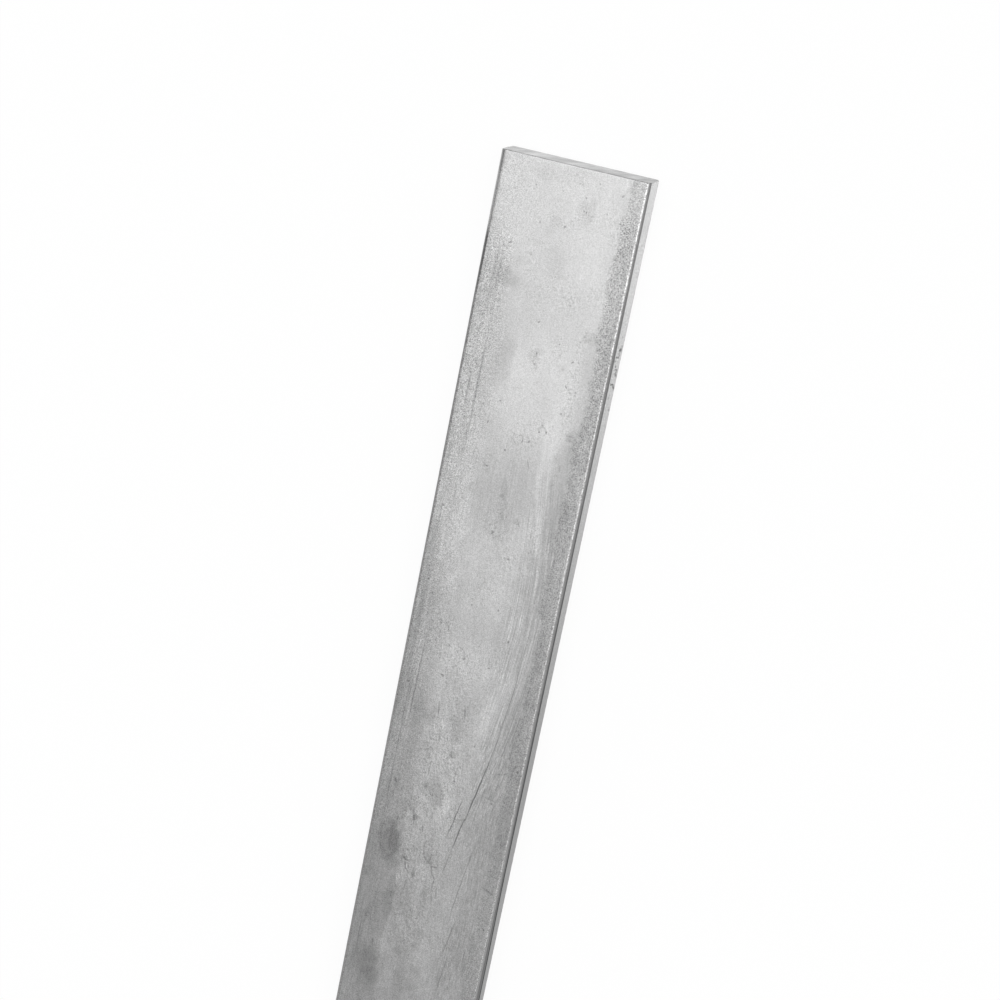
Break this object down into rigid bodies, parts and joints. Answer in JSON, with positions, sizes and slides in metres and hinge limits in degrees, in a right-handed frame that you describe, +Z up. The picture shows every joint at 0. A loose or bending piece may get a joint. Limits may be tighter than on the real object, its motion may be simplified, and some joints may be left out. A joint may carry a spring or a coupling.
{
  "type": "metal flat bar",
  "caption": "Straight length of plain hot-rolled steel flat bar with rounded long corners and square sawn ends, for brackets, frames and braces.",
  "frame": {"origin": "middle of the wide face that the bar lies on", "axes": "+X across the width, +Y along the length, +Z up through the thickness"},
  "size_m": [0.0254, 0.9144, 0.0063],
  "materials": {
    "mill_steel": "satin"
  },
  "bodies": {
    "root": {"flat_bar": "mill_steel"}
  },
  "joints": []
}
